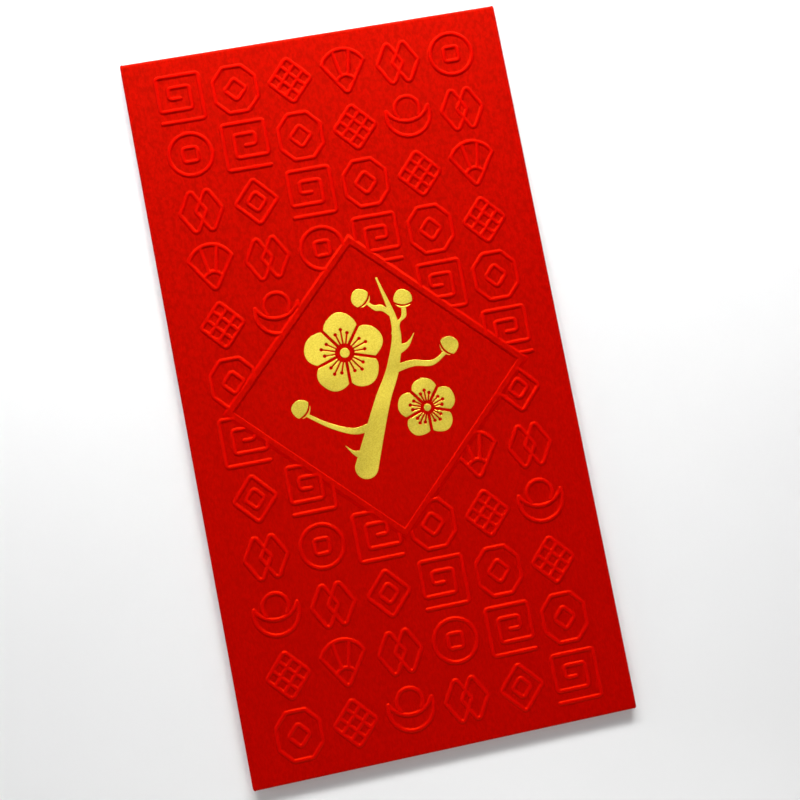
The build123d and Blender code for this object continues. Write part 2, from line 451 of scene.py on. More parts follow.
square_fret = [line_stroke(fret)]
turned_fret = [line_stroke(mirrored(fret))]
coin = [(circle(0, coin_radius, count=44), True), (round_line(coin_square, line_step), True)]
linked_lozenges = [loop_stroke(shifted(lozenge, shift)) for shift in (-lozenge_shift, lozenge_shift)]
fan = [line_stroke(fan_guard), arc_stroke(fan_rim), arc_stroke(fan_heart)]
fan += [line_stroke(fan_rib), line_stroke(mirrored(fan_rib))]
lattice = [loop_stroke(diamond)]
lattice += [line_stroke(bar) for bar in lattice_bars] + [line_stroke(mirrored(bar)) for bar in lattice_bars]
octagon_window = [loop_stroke(octagon), loop_stroke(octagon_heart)]
nested_lozenges = [loop_stroke(diamond), loop_stroke(scaled(diamond, nested_scale))]
ingot = [arc_stroke(shares) for shares in ingot_arcs]
ornaments = [
    square_fret, coin, linked_lozenges, fan, lattice, octagon_window,
    turned_fret, nested_lozenges, linked_lozenges, ingot, lattice, octagon_window,
]


def line_object(name, points, edges):
    """An object made of lines alone."""
    mesh = bpy.data.meshes.new(name)
    mesh.from_pydata([mm(point, 0.0) for point in points], edges, [])
    return bpy.data.objects.new(name, mesh)


def chained(lines):
    """Points and edges of several (points, closed) lines."""
    points, edges = [], []
    for line, closed in lines:
        first = len(points)
        edges += [(first + index, first + index + 1) for index in range(len(line) - 1)]
        if closed:
            edges.append((first + len(line) - 1, first))
        points += line
    return points, edges


def clear_runs(start, end, pieces, level):
    """The ends of each part of a straight line where no stroke is nearer than the level."""
    places = parted(start, end, clear_step) + [end]
    clear = nearest(places, pieces) > level - clear_margin
    runs = []
    for free, run in itertools.groupby(zip(clear, places), lambda pair: pair[0]):
        run = [place for _, place in run]
        if free and run[0] != run[-1]:
            runs.append([run[0], run[-1]])
    return runs


def contours(strokes):
    """Points and edges of the lines beside the strokes, kept where no other stroke is nearer."""
    middle_points, middle_edges = chained(strokes)
    pieces = [(middle_points[start], middle_points[end]) for start, end in middle_edges]
    paths = []
    for line, closed in strokes:
        paths += [line, line[::-1]] if closed else [line + line[-2:0:-1]]
    points, edges = [], []
    for path, level in itertools.product(paths, stroke_levels):
        side = beside(path, level)
        for start, end in zip(side, side[1:] + side[:1]):
            for run in clear_runs(start, end, pieces, level):
                edges.append((len(points), len(points) + 1))
                points += run
    return points, edges


def ornament_collection(name, drawn):
    """One line object for each ornament, named in the order of the cycle."""
    collection = bpy.data.collections.new(name)
    for index, (points, edges) in enumerate(drawn):
        collection.objects.link(line_object(f"{name}_{index:02}", points, edges))
    return collection


def ornament_field_tree():
    """Lays the ornaments out in rows and columns round the frame, and cuts them off at the frame."""
    tree, given = new_geometry_tree(
        "ornament_field", ("Ornaments", "Collection"), ("Ornament Count", "Int"), ("Columns", "Int"),
        ("Rows", "Int"), ("Column Pitch", "Float"), ("Row Pitch", "Float"), ("Column Shift", "Int"),
        ("Frame Half Diagonal", "Float"), ("Cut Half Diagonal", "Float"), ("Height", "Float"),
    )
    reach = square_reach(tree, axes(tree, add_node(tree, "GeometryNodeInputPosition").outputs[0]))
    column_gaps = calculate(tree, "SUBTRACT", given["Columns"], 1)
    row_gaps = calculate(tree, "SUBTRACT", given["Rows"], 1)
    grid = add_node(tree, "GeometryNodeMeshGrid", {
        "Size X": calculate(tree, "MULTIPLY", column_gaps, given["Column Pitch"]),
        "Size Y": calculate(tree, "MULTIPLY", row_gaps, given["Row Pitch"]),
        "Vertices X": given["Columns"], "Vertices Y": given["Rows"],
    }).outputs["Mesh"]
    index = add_node(tree, "GeometryNodeInputIndex").outputs[0]
    column = calculate(tree, "FLOOR", calculate(tree, "DIVIDE", index, given["Rows"]))
    row = calculate(tree, "SUBTRACT", row_gaps, calculate(tree, "FLOORED_MODULO", index, given["Rows"]))
    turn = calculate(tree, "ADD", row, calculate(tree, "MULTIPLY", column, given["Column Shift"]))
    chosen = add_node(tree, "GeometryNodeCollectionInfo", {
        "Collection": given["Ornaments"], "Separate Children": True, "Reset Children": True,
    }).outputs[0]
    laid = add_node(tree, "GeometryNodeInstanceOnPoints", {
        "Points": grid, "Instance": chosen, "Pick Instance": True,
        "Selection": calculate(tree, "GREATER_THAN", reach, given["Frame Half Diagonal"]),
        "Instance Index": calculate(tree, "FLOORED_MODULO", turn, given["Ornament Count"]),
    }).outputs[0]
    plain = add_node(tree, "GeometryNodeRealizeInstances", {"Geometry": laid}).outputs[0]
    cut = add_node(tree, "GeometryNodeDeleteGeometry", {
        "Geometry": plain, "Selection": calculate(tree, "LESS_THAN", reach, given["Cut Half Diagonal"]),
    }).outputs[0]
    lift = add_node(tree, "ShaderNodeCombineXYZ", {"Z": given["Height"]}).outputs[0]
    lifted = add_node(tree, "GeometryNodeSetPosition", {"Geometry": cut, "Offset": lift}).outputs[0]
    close_tree(tree, lifted)
    return tree


def embossed_face_tree():
    """Raises the face along the ornaments and round the square frame, and dresses its cut edges."""
    tree, given = new_geometry_tree(
        "embossed_face", ("Face", "Geometry"), ("Ornament Lines", "Object"), ("Face Height", "Float"),
        ("Relief Height", "Float"), ("Press Scale", "Float"), ("Least Press", "Float"),
        ("Stroke Top", "Float"), ("Stroke Foot", "Float"), ("Frame Inner Half Diagonal", "Float"),
        ("Frame Wall", "Float"), ("Frame Slope Start", "Float"), ("Frame Slope End", "Float"),
        ("Band Polish", "Float"), ("Edge Polish", "Float"), ("Paper", "Material"), ("Cut Edge", "Material"),
    )

    def halfway(step):
        """1 halfway along a step, 0 at both of its ends."""
        rest = calculate(tree, "SUBTRACT", 1.0, step)
        return calculate(tree, "MULTIPLY", calculate(tree, "MULTIPLY", step, rest), 4.0)

    lines = add_node(tree, "GeometryNodeObjectInfo", {"Object": given["Ornament Lines"]})
    near = add_node(tree, "GeometryNodeProximity", {0: lines.outputs["Geometry"]}, target_element="EDGES")
    stroke = fade(tree, near.outputs["Distance"], given["Stroke Top"], given["Stroke Foot"], 1.0, 0.0)
    place = add_node(tree, "GeometryNodeInputPosition").outputs[0]
    parts = axes(tree, place)
    past = calculate(tree, "SUBTRACT", square_reach(tree, parts), given["Frame Inner Half Diagonal"])
    past = calculate(tree, "DIVIDE", past, math.sqrt(2))
    wall = fade(tree, past, 0.0, given["Frame Wall"])
    slope = fade(tree, past, given["Frame Slope Start"], given["Frame Slope End"], 1.0, 0.0)
    band = calculate(tree, "MULTIPLY", wall, slope)
    raised = calculate(tree, "MAXIMUM", stroke, band)

    # The die presses unevenly
    inputs = {"Vector": place, "Scale": given["Press Scale"], "Detail": 1.0}
    press = add_node(tree, "ShaderNodeTexNoise", inputs).outputs[0]
    press = fade(tree, press, *noise_span, given["Least Press"], 1.0, shape="LINEAR")
    height = calculate(tree, "MULTIPLY", calculate(tree, "MULTIPLY", raised, press), given["Relief Height"])
    lift = add_node(tree, "ShaderNodeCombineXYZ", {"Z": height}).outputs[0]
    upper = calculate(tree, "GREATER_THAN", parts["Z"], given["Face Height"])

    # Painted highlight on the strokes, and on the frame's edges more than its band; the paper is also
    # smoother there
    edges = calculate(tree, "MAXIMUM", halfway(wall), halfway(slope))
    band_share = calculate(tree, "MULTIPLY", band, given["Band Polish"])
    edge_share = calculate(tree, "MULTIPLY", edges, given["Edge Polish"])
    frame_share = calculate(tree, "MAXIMUM", band_share, edge_share)
    polish = calculate(tree, "MULTIPLY", calculate(tree, "MAXIMUM", stroke, frame_share), upper)
    polished_and_highlighted = store(tree, given["Face"], "polish", polish, "FLOAT", "POINT")
    face = add_node(tree, "GeometryNodeSetPosition", {
        "Geometry": polished_and_highlighted, "Selection": upper, "Offset": lift,
    }).outputs[0]
    normal = add_node(tree, "GeometryNodeInputNormal").outputs[0]
    upright = calculate(tree, "ABSOLUTE", axes(tree, normal)["Z"])
    cut = calculate(tree, "LESS_THAN", upright, face_cut_slope)
    close_tree(tree, face, (given["Paper"], True), (given["Cut Edge"], cut))
    return tree


def paper_fold_tree():
    """Bends a flat strip of paper into a half-round fold, worn a little along its crown."""
    tree, given = new_geometry_tree(
        "paper_fold", ("Outer Radius", "Float"), ("Thickness", "Float"), ("Length", "Float"),
        ("Roundness", "Float"), ("End Rounding", "Float"), ("Segments", "Int"), ("Rows", "Int"),
        ("Paper", "Material"), ("Cut Edge", "Material"),
    )
    size = add_node(tree, "ShaderNodeCombineXYZ", {"X": 1.0, "Y": given["Length"], "Z": given["Thickness"]})
    strip = add_node(tree, "GeometryNodeMeshCube", {
        "Size": size.outputs[0], "Vertices X": calculate(tree, "ADD", given["Segments"], 1),
        "Vertices Y": given["Rows"], "Vertices Z": 2,
    }).outputs["Mesh"]
    parts = axes(tree, add_node(tree, "GeometryNodeInputPosition").outputs[0])
    angle = calculate(tree, "MULTIPLY", calculate(tree, "ADD", parts["X"], 0.5), math.pi)
    half_thickness = calculate(tree, "MULTIPLY", given["Thickness"], 0.5)
    middle = calculate(tree, "SUBTRACT", given["Outer Radius"], half_thickness)
    radius = calculate(tree, "ADD", middle, parts["Z"])

    # Rows crowd towards the ends, where the fold is rounded off
    half_length = calculate(tree, "MULTIPLY", given["Length"], 0.5)
    along = calculate(tree, "DIVIDE", calculate(tree, "ABSOLUTE", parts["Y"]), half_length)
    inset = calculate(tree, "POWER", calculate(tree, "SUBTRACT", 1.0, along), row_crowding)
    inset = calculate(tree, "MULTIPLY", inset, half_length)
    lengthwise = calculate(tree, "SUBTRACT", half_length, inset)
    lengthwise = calculate(tree, "MULTIPLY", lengthwise, calculate(tree, "SIGN", parts["Y"]))
    short = fade(tree, inset, 0.0, given["Outer Radius"], given["End Rounding"], 0.0, shape="LINEAR")
    rest = calculate(tree, "SUBTRACT", 1.0, calculate(tree, "MULTIPLY", short, short))
    radius = calculate(tree, "MULTIPLY", radius, calculate(tree, "SQRT", rest))

    # Wear and cut edges are marked on the flat strip, before it is bent
    crown = calculate(tree, "SINE", angle)
    wear = calculate(tree, "POWER", crown, crown_narrowing)
    worn = store(tree, strip, "wear", wear, "FLOAT", "POINT")
    normal = add_node(tree, "GeometryNodeInputNormal").outputs[0]
    upright = calculate(tree, "ABSOLUTE", axes(tree, normal)["Z"])
    ends = calculate(tree, "LESS_THAN", upright, cut_slope)
    worn = store(tree, worn, "cut", ends, "BOOLEAN", "FACE")

    level = calculate(tree, "COSINE", angle)
    outward = calculate(tree, "POWER", calculate(tree, "ABSOLUTE", crown), given["Roundness"])
    upward = calculate(tree, "POWER", calculate(tree, "ABSOLUTE", level), given["Roundness"])
    upward = calculate(tree, "MULTIPLY", upward, calculate(tree, "SIGN", level))
    bent = add_node(tree, "ShaderNodeCombineXYZ", {
        "X": calculate(tree, "MULTIPLY", radius, outward), "Y": lengthwise,
        "Z": calculate(tree, "MULTIPLY", radius, upward),
    }).outputs[0]
    fold = add_node(tree, "GeometryNodeSetPosition", {"Geometry": worn, "Position": bent}).outputs[0]
    cut = add_node(tree, "GeometryNodeInputNamedAttribute", {"Name": "cut"}, data_type="BOOLEAN").outputs[0]
    close_tree(tree, fold, (given["Paper"], True), (given["Cut Edge"], cut))
    return tree


# Materials


def new_material(name):
    """A material with its own shader, and where on the object a point is."""
    material = bpy.data.materials.new(name)
    material.use_nodes = True
    tree = material.node_tree
    place = add_node(tree, "ShaderNodeTexCoord").outputs["Object"]
    return material, tree, tree.nodes["Principled BSDF"], place


def noise(tree, place, scale, detail=2.0, roughness=0.5):
    """Cloudy noise; the scale is how many clouds there are in a metre, along each axis."""
    spread = add_node(tree, "ShaderNodeMapping", {"Vector": place, "Scale": scale}).outputs[0]
    inputs = {"Vector": spread, "Scale": 1.0, "Detail": detail, "Roughness": roughness}
    return add_node(tree, "ShaderNodeTexNoise", inputs).outputs[0]


def blend_colour(tree, share, first, second):
    """The first colour, with a share of the second laid over it."""
    made = add_node(tree, "ShaderNodeMix", {"Factor": share}, data_type="RGBA")
    for key, colour in ((6, first), (7, second)):
        linked = isinstance(colour, bpy.types.NodeSocket)
        set_inputs(tree, made, {key: colour if linked else (*colour, 1.0)})
    return made.outputs[2]


def bump(tree, height, depth):
    """The slopes of a fine grain; the depth is in metres."""
    return add_node(tree, "ShaderNodeBump", {"Height": height, "Strength": 1.0, "Distance": depth}).outputs[0]


def make_paper(name, deep, bright, grain_depth):
    """Dyed paper: upright fibres, mottled dye, a painted highlight and smoother paper on the raised strokes
    and the frame's edges, pale at the folds.
    """
    material, tree, shader, place = new_material(name)
    fibres = noise(tree, place, (2600, 1000, 2600), detail=3.0, roughness=0.6)
    tooth = noise(tree, place, (4200, 2600, 4200), roughness=0.6)
    mottle = noise(tree, place, (900, 620, 900), detail=3.0, roughness=0.65)
    clouds = noise(tree, place, (260, 150, 260), detail=4.0, roughness=0.6)
    flecks = fade(tree, noise(tree, place, (900, 420, 900)), 0.66, 0.76)
    polish = add_node(tree, "ShaderNodeAttribute", attribute_name="polish").outputs["Fac"]
    wear = add_node(tree, "ShaderNodeAttribute", attribute_name="wear").outputs["Fac"]

    # The mottle is stronger towards the crease
    upward = fade(tree, axes(tree, place)["Y"], -0.05, 0.06, start=0.2, end=0.6)
    mottled = calculate(tree, "MULTIPLY", fade(tree, mottle, 0.42, 0.64), upward)
    shadow = [value * shadow_tone for value in deep]
    polished_and_highlighted = [value * highlight_tone for value in bright]
    colour = blend_colour(tree, fade(tree, fibres, *noise_span), deep, bright)
    colour = blend_colour(tree, fade(tree, clouds, 0.35, 0.7, end=0.35), colour, deep)
    colour = blend_colour(tree, mottled, colour, shadow)
    colour = blend_colour(tree, calculate(tree, "MULTIPLY", flecks, fleck_share), colour, bright)
    # Painted highlight: brighter red on the raised strokes and the frame's edges
    colour = blend_colour(tree, calculate(tree, "MULTIPLY", polish, highlight_share), colour, polished_and_highlighted)
    scuffed = calculate(tree, "MULTIPLY", wear, fade(tree, tooth, 0.35, 0.75, end=0.25))
    colour = blend_colour(tree, scuffed, colour, worn_red)

    rough = fade(tree, tooth, *noise_span, start=0.40, end=0.50)
    rough = calculate(tree, "SUBTRACT", rough, calculate(tree, "MULTIPLY", polish, polish_smoothing))
    height = calculate(tree, "ADD", fibres, calculate(tree, "MULTIPLY", tooth, 0.5))
    height = calculate(tree, "MULTIPLY", height, fade(tree, polish, 0.0, 1.0, start=1.0, end=0.4))
    set_inputs(tree, shader, {
        "Base Color": colour, "Roughness": rough, "Metallic": 0.15, "Specular IOR Level": 0.04,
        "Specular Tint": (1.0, 0.95, 0.05, 1.0), "Normal": bump(tree, height, grain_depth * MM),
    })
    return material


def make_foil():
    """Satin foil that takes up some of the paper's grain under the stamp."""
    material, tree, shader, place = new_material("gold_foil")
    grain = noise(tree, place, (4200, 5200, 4200), roughness=0.6)
    waves = noise(tree, place, (70, 85, 70), detail=1.0)
    colour = blend_colour(tree, fade(tree, grain, *noise_span), (0.82, 0.61, 0.055), (1.0, 0.81, 0.11))
    fine, broad = calculate(tree, "MULTIPLY", grain, 0.014), calculate(tree, "MULTIPLY", waves, 0.6)
    set_inputs(tree, shader, {
        "Base Color": colour, "Roughness": fade(tree, grain, *noise_span, start=0.30, end=0.42),
        "Metallic": 1.0, "Normal": bump(tree, calculate(tree, "ADD", fine, broad), MM),
    })
    return material


def make_glue():
    """A dried film of paste, with streaks from the brush."""
    material, tree, shader, place = new_material("dry_glue")
    streaks = noise(tree, place, (900, 90, 900))
    colour = blend_colour(tree, fade(tree, streaks, *noise_span), (0.78, 0.73, 0.62), (0.88, 0.85, 0.77))
    rough = fade(tree, streaks, *noise_span, start=0.3, end=0.5)
    set_inputs(tree, shader, {"Base Color": colour, "Roughness": rough})
    return material


def make_floor():
    """A pale floor that keeps its tone further out, where the lamps don't reach."""
    material, tree, shader, place = new_material("pale_floor")
    clouds = noise(tree, place, (9, 9, 9), detail=3.0)
    colour = blend_colour(tree, fade(tree, clouds, *noise_span), (0.91, 0.91, 0.91), (0.94, 0.94, 0.94))
    away = add_node(tree, "ShaderNodeVectorMath", {0: place}, operation="LENGTH").outputs["Value"]
    set_inputs(tree, shader, {
        "Base Color": colour, "Roughness": 0.6, "Specular IOR Level": 0.2,
        "Emission Color": (1.0, 1.0, 1.0, 1.0), "Emission Strength": fade(tree, away, 0.10, 0.75, end=0.44),
    })
    return material


red_paper = make_paper(
    "red_paper", deep=(0.47, 0.0004, 0.0001), bright=(0.57, 0.0010, 0.0002), grain_depth=0.016
)
cut_paper = make_paper(
    "cut_paper", deep=(0.42, 0.0025, 0.0010), bright=(0.60, 0.0120, 0.0060), grain_depth=0.05
)
gold_foil = make_foil()
dry_glue = make_glue()
paper_values = {"Paper": red_paper, "Cut Edge": cut_paper}


# Sheets


def fill(points, edges):
    """Triangles inside the outermost lines; the given points come first, in their order."""
    flat = [Vector((point.real, point.imag)) for point in points]
    found = delaunay_2d_cdt(flat, edges, [], 1, merge_distance)
    return [complex(*place) for place in found[0]], [list(face) for face in found[2]]


def sheet_mesh(name, outline, low, high, points=(), edges=()):
    """A flat sheet with a cut edge; the points and edges are drawn into its upper side."""
    count = len(outline)
    ring = [(index, (index + 1) % count) for index in range(count)]
    inner = [(start + count, end + count) for start, end in edges]
    upper, upper_faces = fill([*outline, *points], ring + inner)
    under, under_faces = fill(outline, ring)
    places = [mm(point, high) for point in upper] + [mm(point, low) for point in under]
    first = len(upper)
    faces = upper_faces + [[first + index for index in reversed(face)] for face in under_faces]
    faces += [(first + start, first + end, end, start) for start, end in ring]
    mesh = bpy.data.meshes.new(name)
    mesh.from_pydata(places, [], faces)
    return mesh


def cut_sheet(name, outline, low):
    """A plain sheet of paper with softened cut edges."""
    mesh = sheet_mesh(name, outline, low, low + paper_thickness)
    mesh.materials.append(red_paper)
    mesh.materials.append(cut_paper)
    for face in mesh.polygons:
        face.material_index = int(abs(face.normal.z) < cut_slope)
    piece = bpy.data.objects.new(name, mesh)
    bpy.context.scene.collection.objects.link(piece)
    rim = piece.modifiers.new("soft_rim", "BEVEL")
    rim.width, rim.segments, rim.limit_method = rim_rounding * MM, rim_segments, "ANGLE"
    settle(piece)
    shade(piece, sheet_crease_angle)
    return piece


def make_face():
    """The embossed face: the relief's lines are drawn into the sheet, and it is raised along them."""
    middles = ornament_collection("stroke_middles", [chained(strokes) for strokes in ornaments])
    sides = ornament_collection("stroke_sides", [contours(strokes) for strokes in ornaments])
    tree = ornament_field_tree()
    values = {
        "Ornament Count": len(ornaments), "Columns": column_count, "Rows": row_count,
        "Column Pitch": column_pitch * MM, "Row Pitch": row_pitch * MM, "Column Shift": column_shift,
        "Frame Half Diagonal": frame_half_diagonal * MM, "Height": face_top * MM,
        "Cut Half Diagonal": (frame_inner_half_diagonal + stroke_cut * math.sqrt(2)) * MM,
    }
    middle_lines = grow("middle_lines", tree, {**values, "Ornaments": middles})
    side_lines = grow("side_lines", tree, {**values, "Ornaments": sides})

    points, edges = [], []
    for lines in (middle_lines, side_lines):
        first = len(points)
        points += [complex(vertex.co.x, vertex.co.y) / MM for vertex in lines.data.vertices]
        edges += [(first + edge.vertices[0], first + edge.vertices[1]) for edge in lines.data.edges]
    for level in frame_levels:
        reach = frame_inner_half_diagonal + level * math.sqrt(2)
        first = len(points)
        square = round_line([reach, reach * 1j, -reach, -reach * 1j], frame_step)
        points += square
        edges += [(first + index, first + (index + 1) % len(square)) for index in range(len(square))]

    # Loose points on the plain paper between the strokes
    drawn = np.array(points)
    plain_columns, plain_rows = int(side_line // plain_step), int(crease_line // plain_step)
    for across in range(-plain_columns, plain_columns + 1):
        for up in range(-plain_rows, plain_rows + 1):
            point = complex(across * plain_step, up * plain_step)
            if np.abs(drawn - point).min() > plain_clearance:
                points.append(point)

    corners = [
        complex(side_line, bottom_line), complex(side_line, crease_line),
        complex(-side_line, crease_line), complex(-side_line, bottom_line),
    ]
    outline = round_line(corners, plain_step)
    mesh = sheet_mesh("embossed_face", outline, face_low, face_top, points, edges)
    face = grow("embossed_face", embossed_face_tree(), {
        "Ornament Lines": middle_lines, "Face Height": (face_low + face_top) / 2 * MM,
        "Relief Height": relief_height * MM, "Press Scale": press_scale, "Least Press": least_press,
        "Stroke Top": stroke_top * MM, "Stroke Foot": stroke_foot * MM,
        "Frame Inner Half Diagonal": frame_inner_half_diagonal * MM, "Frame Wall": frame_wall * MM,
        "Frame Slope Start": frame_slope_start * MM, "Frame Slope End": frame_slope_end * MM,
        "Band Polish": band_polish_and_highlight, "Edge Polish": edge_polish_and_highlight, **paper_values,
    }, mesh)
    shade(face, relief_crease_angle)
    for lines in (middle_lines, side_lines):
        bpy.data.objects.remove(lines)
    return face


def make_fold(name, radius, length, turn, middle, end_rounding=0.0):
    """One half-round fold, turned and moved into place."""
    fold = grow(name, fold_tree, {
        "Outer Radius": radius * MM, "Thickness": paper_thickness * MM, "Length": length * MM,
        "Roundness": fold_roundness, "End Rounding": end_rounding, "Segments": fold_segments,
        "Rows": fold_rows, **paper_values,
    })
    place = Matrix.Translation(Vector(middle) * MM) @ Matrix.Rotation(math.radians(turn), 4, "Z")
    fold.data.transform(place)
    shade(fold, sheet_crease_angle)
    return fold


# Gold sprig: outlines laid on or cut away in turn


def sprig_point(shares):
    """Shares of the sprig's height as a point on the flat."""
    return complex(shares[0] * sprig_height, shares[1] * sprig_height + sprig_rise)


def brush_stroke(shares, half_shares, edge, round_foot=False):
    """Outline of a tapering stroke along a soft curve, with a square or a round foot."""
    middle = [sprig_point(share) for share in shares]
    reach = [edge * half * sprig_height for half in half_shares]
    one_edge = smooth([point + half for point, half in zip(middle, reach)], brush_count)
    other_edge = smooth([point - half for point, half in zip(middle, reach)], brush_count)
    outline = one_edge + other_edge[::-1]
    if round_foot:
        way = (middle[0] - middle[1]) / abs(middle[0] - middle[1])
        outline += arc(other_edge[0], middle[0] + way * abs(reach[0]), one_edge[0], count=30)[1:-1]
    return outline


def wavering(middle, radius, phase):
    """A round that wavers a little, as a brush leaves it."""
    outline = []
    for index in range(round_count):
        turn = 2 * math.pi * index / round_count
        slow, quick = slow_waver * math.sin(3 * turn + phase), quick_waver * math.sin(5 * turn + 2 * phase)
        outline.append(middle + radius * (1 + slow + quick) * cmath.exp(1j * turn))
    return outline


def bar(start, end, width):
    """Outline of a straight cut with square ends."""
    side = 0.5j * width * (end - start) / abs(end - start)
    return round_line([start + side, start - side, end - side, end + side], bar_step)


def blossom(middle, radius):
    """Five petals with stamens, parted by narrow gaps, round a pistil."""
    shapes = [(False, circle(middle, radius + petal_gap, count=160))]
    turns = [math.pi * (0.5 + 2 * index / petal_count) for index in range(petal_count)]
    ways = [radius * cmath.exp(1j * turn) for turn in turns]
    for phase, way in enumerate(ways):
        shapes.append((True, wavering(middle + way * petal_place, radius * petal_size, phase + radius)))
    for way in ways:
        between = way * cmath.exp(1j * math.pi / petal_count)
        shapes.append((False, bar(middle, middle + between, petal_gap)))
        for turn, reach in stamens:
            stamen = way * cmath.exp(1j * turn)
            shapes.append((False, bar(middle + stamen * stamen_foot, middle + stamen * reach, stamen_width)))
            shapes.append((False, circle(middle + stamen * reach, stamen_width * anther_size, count=24)))
    shapes.append((False, circle(middle, radius * heart_size, count=60)))
    shapes.append((True, circle(middle, radius * pistil_size, count=40)))
    return shapes


def bud(middle, way):
    """A round bud in its calyx; the way points out of the calyx."""
    upper = arc(*[middle + bud_radius * way * place for place in calyx_rim], count=20)
    lower = [point - calyx_gap * way for point in reversed(upper)]
    return [(True, wavering(middle, bud_radius, abs(middle))), (False, upper + lower)]


trunk = ((-0.13, -0.44), (-0.05, -0.26), (0.02, -0.11), (0.1, 0.04), (0.15, 0.24), (0.1, 0.5))
trunk_halves = (0.056, 0.045, 0.037, 0.03, 0.02, 0.005)
trunk_edge = 1 - 0.35j
twigs = (
    (((0.09, 0.02), (0.2, 0.035), (0.3, 0.02), (0.385, 0.065)), 1j, (0.4, 0.09)),
    (((-0.03, -0.23), (-0.15, -0.25), (-0.27, -0.2), (-0.385, -0.12)), 1j, (-0.4, -0.09)),
    (((0.142, 0.2), (0.16, 0.25), (0.2, 0.28), (0.21, 0.34)), 1, (0.213, 0.37)),
    (((0.142, 0.3), (0.1, 0.34), (0.06, 0.35), (0.02, 0.39)), 1j, (0, 0.41)),
)
twig_halves = (0.022, 0.017, 0.014, 0.011)
spurs = (
    (((-0.13, -0.375), (-0.175, -0.36), (-0.215, -0.315)), 1j),
    (((0.14, 0.115), (0.195, 0.135), (0.235, 0.185)), 1j),
)
spur_halves = (0.026, 0.014, 0.003)
blossoms = (((-0.13, 0.15), 9.5), ((0.23, -0.2), 7.0))
sprig_shapes = [(True, brush_stroke(trunk, trunk_halves, trunk_edge, round_foot=True))]
sprig_shapes += [(True, brush_stroke(line, spur_halves, edge)) for line, edge in spurs]
for line, edge, tip in twigs:
    sprig_shapes.append((True, brush_stroke(line, twig_halves, edge)))
    way = sprig_point(tip) - sprig_point(line[-2])
    sprig_shapes += bud(sprig_point(tip), way / abs(way))
for place, radius in blossoms:
    sprig_shapes += blossom(sprig_point(place), radius)


def painted(shapes, loose_points):
    """Triangles that the shapes leave covered, laid on or cut away in their order."""
    points, faces = [], []
    for _, outline in shapes:
        faces.append([len(points) + index for index in range(len(outline))])
        points += leftward(outline)
    flat = [Vector((point.real, point.imag)) for point in points + loose_points]
    found = delaunay_2d_cdt(flat, [], faces, 0, merge_distance)
    kept = [list(face) for face, inside in zip(found[2], found[5]) if inside and shapes[max(inside)][0]]
    return [complex(*place) for place in found[0]], kept


def rim_edges(faces):
    """Edges with a face on one side only, with the face on their left."""
    edges = {(face[index - 1], face[index]) for face in faces for index in range(len(face))}
    return [edge for edge in edges if edge[::-1] not in edges]


def make_sprig():
    """The foil: flat, with its rim pressed down into the paper."""
    points, faces = painted(sprig_shapes, [])
    follow = dict(rim_edges(faces))
    rim_lines = [(points[start], points[end]) for start, end in follow.items()]
    rings = []
    while follow:
        start, here = follow.popitem()
        loop = [points[start]]
        while here != start:
            loop.append(points[here])
            here = follow.pop(here)
        for level in foil_rings:
            ring = beside(loop, level)
            far = nearest(ring, rim_lines)
            rings += [point for point, reach in zip(ring, far) if reach > level - ring_margin]
    points, faces = painted(sprig_shapes, rings)
    used = sorted({index for face in faces for index in face})
    number = {index: count for count, index in enumerate(used)}
    upper = [points[index] for index in used]
    faces = [[number[index] for index in face] for face in faces]
    share = np.clip(nearest(upper, rim_lines) / foil_rounding, 0, 1)
    heights = foil_low + foil_thickness * (foil_rim + (1 - foil_rim) * np.sqrt(share * (2 - share)))
    places = [mm(point, height) for point, height in zip(upper, heights)]
    places += [mm(point, foil_low) for point in upper]
    count = len(upper)
    solid = faces + [[count + index for index in reversed(face)] for face in faces]
    solid += [(count + start, count + end, end, start) for start, end in rim_edges(faces)]
    mesh = bpy.data.meshes.new("gold_sprig")
    mesh.from_pydata(places, [], solid)
    mesh.materials.append(gold_foil)
    sprig = bpy.data.objects.new("gold_sprig", mesh)
    bpy.context.scene.collection.objects.link(sprig)
    shade(sprig, relief_crease_angle)
    return sprig


# Pieces, set on their bodies

face = make_face()
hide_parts("front_panel")

fold_tree = paper_fold_tree()
right_middle, left_middle = (side_line, 0, side_middle), (-side_line, 0, side_middle)
right_fold = make_fold("right_fold", side_radius, envelope_height, 0, right_middle, side_end_rounding)
left_fold = make_fold("left_fold", side_radius, envelope_height, 180, left_middle, side_end_rounding)
bottom_edge = make_fold("bottom_edge", bottom_radius, 2 * side_line, -90, (0, bottom_line, bottom_middle))
crease = make_fold("flap_bend", crease_radius, 2 * side_line, 90, (0, crease_line, crease_radius))
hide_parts("right_side_fold")
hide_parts("left_side_fold")
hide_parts("bottom_fold")
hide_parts("flap_crease")

half_back, half_flap = back_width / 2, flap_width / 2
notch_turn = math.asin(thumb_notch_rounding / (thumb_notch_radius + thumb_notch_rounding))
notch_reach = (thumb_notch_radius + thumb_notch_rounding) * math.cos(notch_turn)
notch_touch = thumb_notch_radius * cmath.exp(-1j * notch_turn)
right_touch, left_touch = notch_touch + 1j * mouth_line, -notch_touch.conjugate() + 1j * mouth_line
lip_middle = complex(notch_reach, mouth_line - thumb_notch_rounding)
lip_way = cmath.exp(1j * (math.pi * 0.75 - notch_turn / 2))
lip_through = lip_middle + thumb_notch_rounding * lip_way
right_lip = arc(right_touch, lip_through, complex(notch_reach, mouth_line), count=12)
left_lip = [complex(-point.real, point.imag) for point in reversed(right_lip)]
notch = arc(left_touch, 1j * (mouth_line - thumb_notch_radius), right_touch, count=40)
mouth = rounded([
    (complex(side_line, bottom_line), 0), (complex(half_back, bottom_line + corner_land), 0),
    (complex(half_back, mouth_line), mouth_corner_radius), (1j * mouth_line, 0),
    (complex(-half_back, mouth_line), mouth_corner_radius),
    (complex(-half_back, bottom_line + corner_land), 0), (complex(-side_line, bottom_line), 0),
], sheet_corner_step)
middle = mouth.index(1j * mouth_line)
back_outline = mouth[:middle] + right_lip[::-1] + notch[::-1][1:-1] + left_lip[::-1] + mouth[middle + 1:]
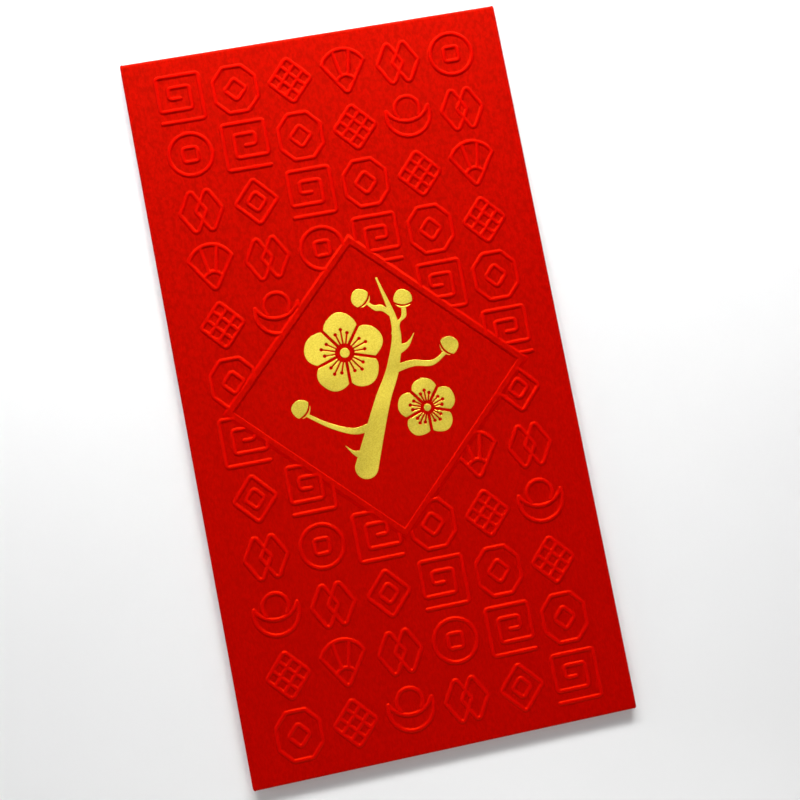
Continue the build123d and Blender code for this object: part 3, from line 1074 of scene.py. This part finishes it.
back = cut_sheet("back_sheet", back_outline, back_low)
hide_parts("back_panel")

flap_tip = crease_line - flap_depth
flap = cut_sheet("flap_sheet", rounded([
    (complex(side_line, crease_line), 0), (complex(-side_line, crease_line), 0),
    (complex(flap_side_taper - half_flap, flap_tip), flap_corner_radius),
    (complex(half_flap - flap_side_taper, flap_tip), flap_corner_radius),
], sheet_corner_step), 0.0)
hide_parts("closing_flap")

sprig = make_sprig()
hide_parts("gold_emblem")

for piece in (face, right_fold, left_fold, bottom_edge, back, sprig):
    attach(piece, "pocket")
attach(flap, "flap")
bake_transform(crease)
for side in ("left", "right"):
    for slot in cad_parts[side + "_glue_tab"].material_slots:
        slot.material = red_paper
    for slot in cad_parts[side + "_glue_line"].material_slots:
        slot.material = dry_glue

# Floor, light and camera, in metres

floor_half, floor_level = 3, -2e-5
floor_corners = [
    (across * floor_half, up * floor_half, floor_level)
    for across, up in ((-1, -1), (1, -1), (1, 1), (-1, 1))
]
floor_mesh = bpy.data.meshes.new("floor")
floor_mesh.from_pydata(floor_corners, [], [(0, 1, 2, 3)])
floor_mesh.materials.append(make_floor())
floor = bpy.data.objects.new("floor", floor_mesh)
bpy.context.scene.collection.objects.link(floor)


def area_light(name, place, size, power, target=(0, 0, 0)):
    """A soft rectangular light that faces its target."""
    light = bpy.data.lights.new(name, "AREA")
    light.shape, light.size, light.size_y, light.energy = "RECTANGLE", *size, power
    lamp = bpy.data.objects.new(name, light)
    lamp.location = place
    lamp.visible_camera = False
    lamp.rotation_euler = (Vector(target) - Vector(place)).to_track_quat("-Z", "Y").to_euler()
    bpy.context.scene.collection.objects.link(lamp)


area_light("key_light", place=(0.02, 0.29, 0.19), size=(0.46, 0.055), power=1.78)
area_light("window_light", place=(0.35, 2.5, 1.6), size=(2.0, 0.5), power=34)
area_light("side_light", place=(-1.4, 0.35, 0.40), size=(0.40, 0.30), power=3.0)
area_light("low_light", place=(0.0, -0.20, 0.07), size=(0.20, 0.05), power=0.07, target=(0, -0.075, 0))
area_light("top_light", place=(-0.02, 0.12, 0.75), size=(0.34, 0.30), power=0.54)

# The sky is brighter near the horizon
world = bpy.data.worlds.new("studio")
world.use_nodes = True
bpy.context.scene.world = world
sky = world.node_tree
rise = axes(sky, add_node(sky, "ShaderNodeTexCoord").outputs["Generated"])["Z"]
strength = fade(sky, rise, 0.08, 0.40, start=0.58, end=0.06)
set_inputs(sky, sky.nodes["Background"], {"Color": (1, 1, 1, 1), "Strength": strength})

camera_place = (-0.0173, -0.0186, 0.2598)
camera_ahead = (0.0845, 0.0552, -0.9949)
camera_above = (0.1867, 0.9799, 0.0702)
camera_data = bpy.data.cameras.new("camera")
camera_data.lens, camera_data.sensor_width = 50, 36
camera = bpy.data.objects.new("camera", camera_data)
bpy.context.scene.collection.objects.link(camera)
ahead = Vector(camera_ahead).normalized()
right = ahead.cross(Vector(camera_above)).normalized()
above = right.cross(ahead)
camera.matrix_world = Matrix((right, above, -ahead)).transposed().to_4x4()
camera.location = camera_place
bpy.context.scene.camera = camera
bpy.context.scene.view_settings.view_transform = "Standard"
